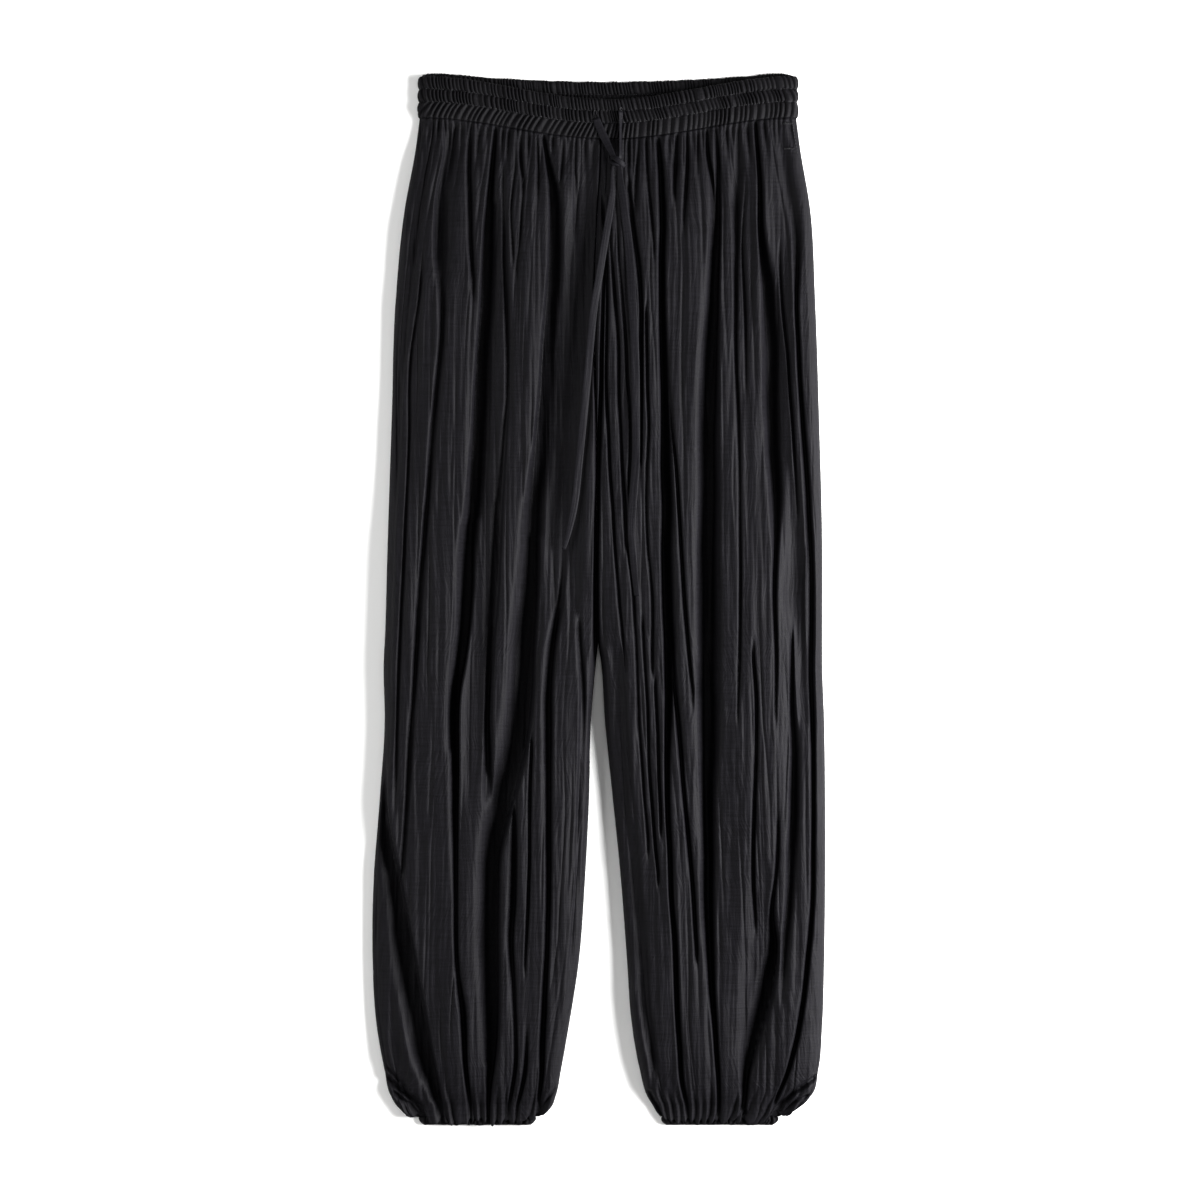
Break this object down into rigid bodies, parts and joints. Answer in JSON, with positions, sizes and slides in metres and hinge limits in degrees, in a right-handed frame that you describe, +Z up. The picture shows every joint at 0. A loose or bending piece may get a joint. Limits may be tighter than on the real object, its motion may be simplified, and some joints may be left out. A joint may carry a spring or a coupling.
{
  "type": "balloon trousers",
  "caption": "Full-length balloon trousers lying flat: gathered elastic drawstring waist, long soft folds down wide legs, drawn in to narrow elastic hems; worn on the legs.",
  "frame": {"origin": "middle of the cloth's flat underside, on the surface it lies on", "axes": "+X from the wearer's right leg to the left, +Y from the hems up to the waist, +Z up from the surface"},
  "size_m": [0.452, 1.0514, 0.0262],
  "materials": {
    "leg_cloth": "crinkled plain-weave viscose, soft low sheen",
    "band_cloth": "the same crinkled cloth, gathered over elastic in stitched channels",
    "tie_cloth": "self-fabric tie, pressed flat, soft low sheen"
  },
  "bodies": {
    "root": {"leg_front_right": "leg_cloth", "leg_front_left": "leg_cloth", "leg_back_right": "leg_cloth", "leg_back_left": "leg_cloth", "waistband_front": "band_cloth", "waistband_back": "band_cloth", "cuff_right_front": "band_cloth", "cuff_right_back": "band_cloth", "cuff_left_front": "band_cloth", "cuff_left_back": "band_cloth", "drawstring_upper_right": "tie_cloth", "drawstring_upper_left": "tie_cloth", "drawstring_tail_right": "tie_cloth", "drawstring_tail_left": "tie_cloth", "drawstring_knot": "tie_cloth"}
  },
  "joints": []
}
